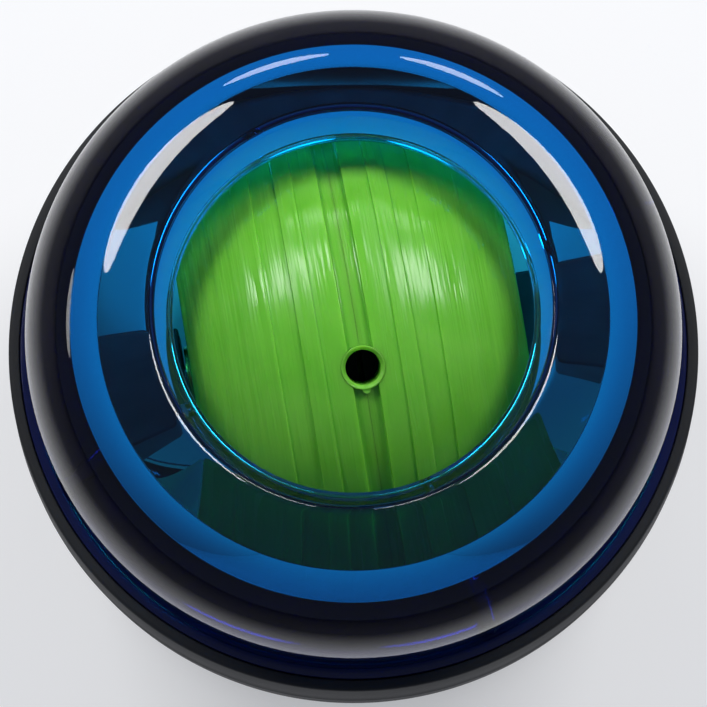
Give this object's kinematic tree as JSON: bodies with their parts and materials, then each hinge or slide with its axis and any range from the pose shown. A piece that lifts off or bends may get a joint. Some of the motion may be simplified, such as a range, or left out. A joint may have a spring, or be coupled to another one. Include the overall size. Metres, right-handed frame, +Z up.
{
  "type": "gyroscopic wrist ball",
  "caption": "Hand-held gyroscopic wrist exerciser: clear blue dome with a round mouth, lime flywheel on a turning ring, black rubber grip and a clear blue bowl.",
  "frame": {"origin": "on the surface that the ball stands on, under the middle of the foot pad", "axes": "+Z up through the middle of the mouth; the view in the picture looks down from above the -Y side"},
  "size_m": [0.073, 0.073, 0.0575],
  "materials": {
    "clear_blue": "polished clear blue plastic",
    "lower_blue": "polished clear blue plastic",
    "black_plastic": "gloss",
    "rubber": "matte",
    "steel": "ground",
    "nylon": "satin",
    "brass": "turned",
    "lime_plastic": "satin gloss",
    "cast_metal": "as cast"
  },
  "bodies": {
    "case": {"upper_shell": "clear_blue", "lower_shell": "lower_blue", "upper_race_ring": "black_plastic", "lower_race_ring": "black_plastic", "grip_sleeve": "rubber", "foot_pad": "rubber", "case_screw_1": "steel", "case_screw_2": "steel", "case_screw_3": "steel", "case_screw_4": "steel"},
    "ring": {"precession_ring": "nylon", "axle_bush_left": "brass", "axle_bush_right": "brass"},
    "rotor": {"axle_shaft": "steel", "hub_sleeve": "brass", "thrust_washer_left": "brass", "thrust_washer_right": "brass", "rotor_half_left": "lime_plastic", "rotor_half_right": "lime_plastic", "flywheel_weight_left": "cast_metal", "flywheel_weight_right": "cast_metal", "string_eyelet": "lime_plastic"}
  },
  "joints": [
    {"name": "ring_precession", "type": "hinge", "parent": "case", "child": "ring", "pos_m": [0, 0, 0.0325], "axis": [0, 0, 1], "continuous": true},
    {"name": "rotor_spin", "type": "hinge", "parent": "ring", "child": "rotor", "pos_m": [0, 0, 0.0325], "axis": [0.9863, 0.165, 0], "continuous": true}
  ]
}
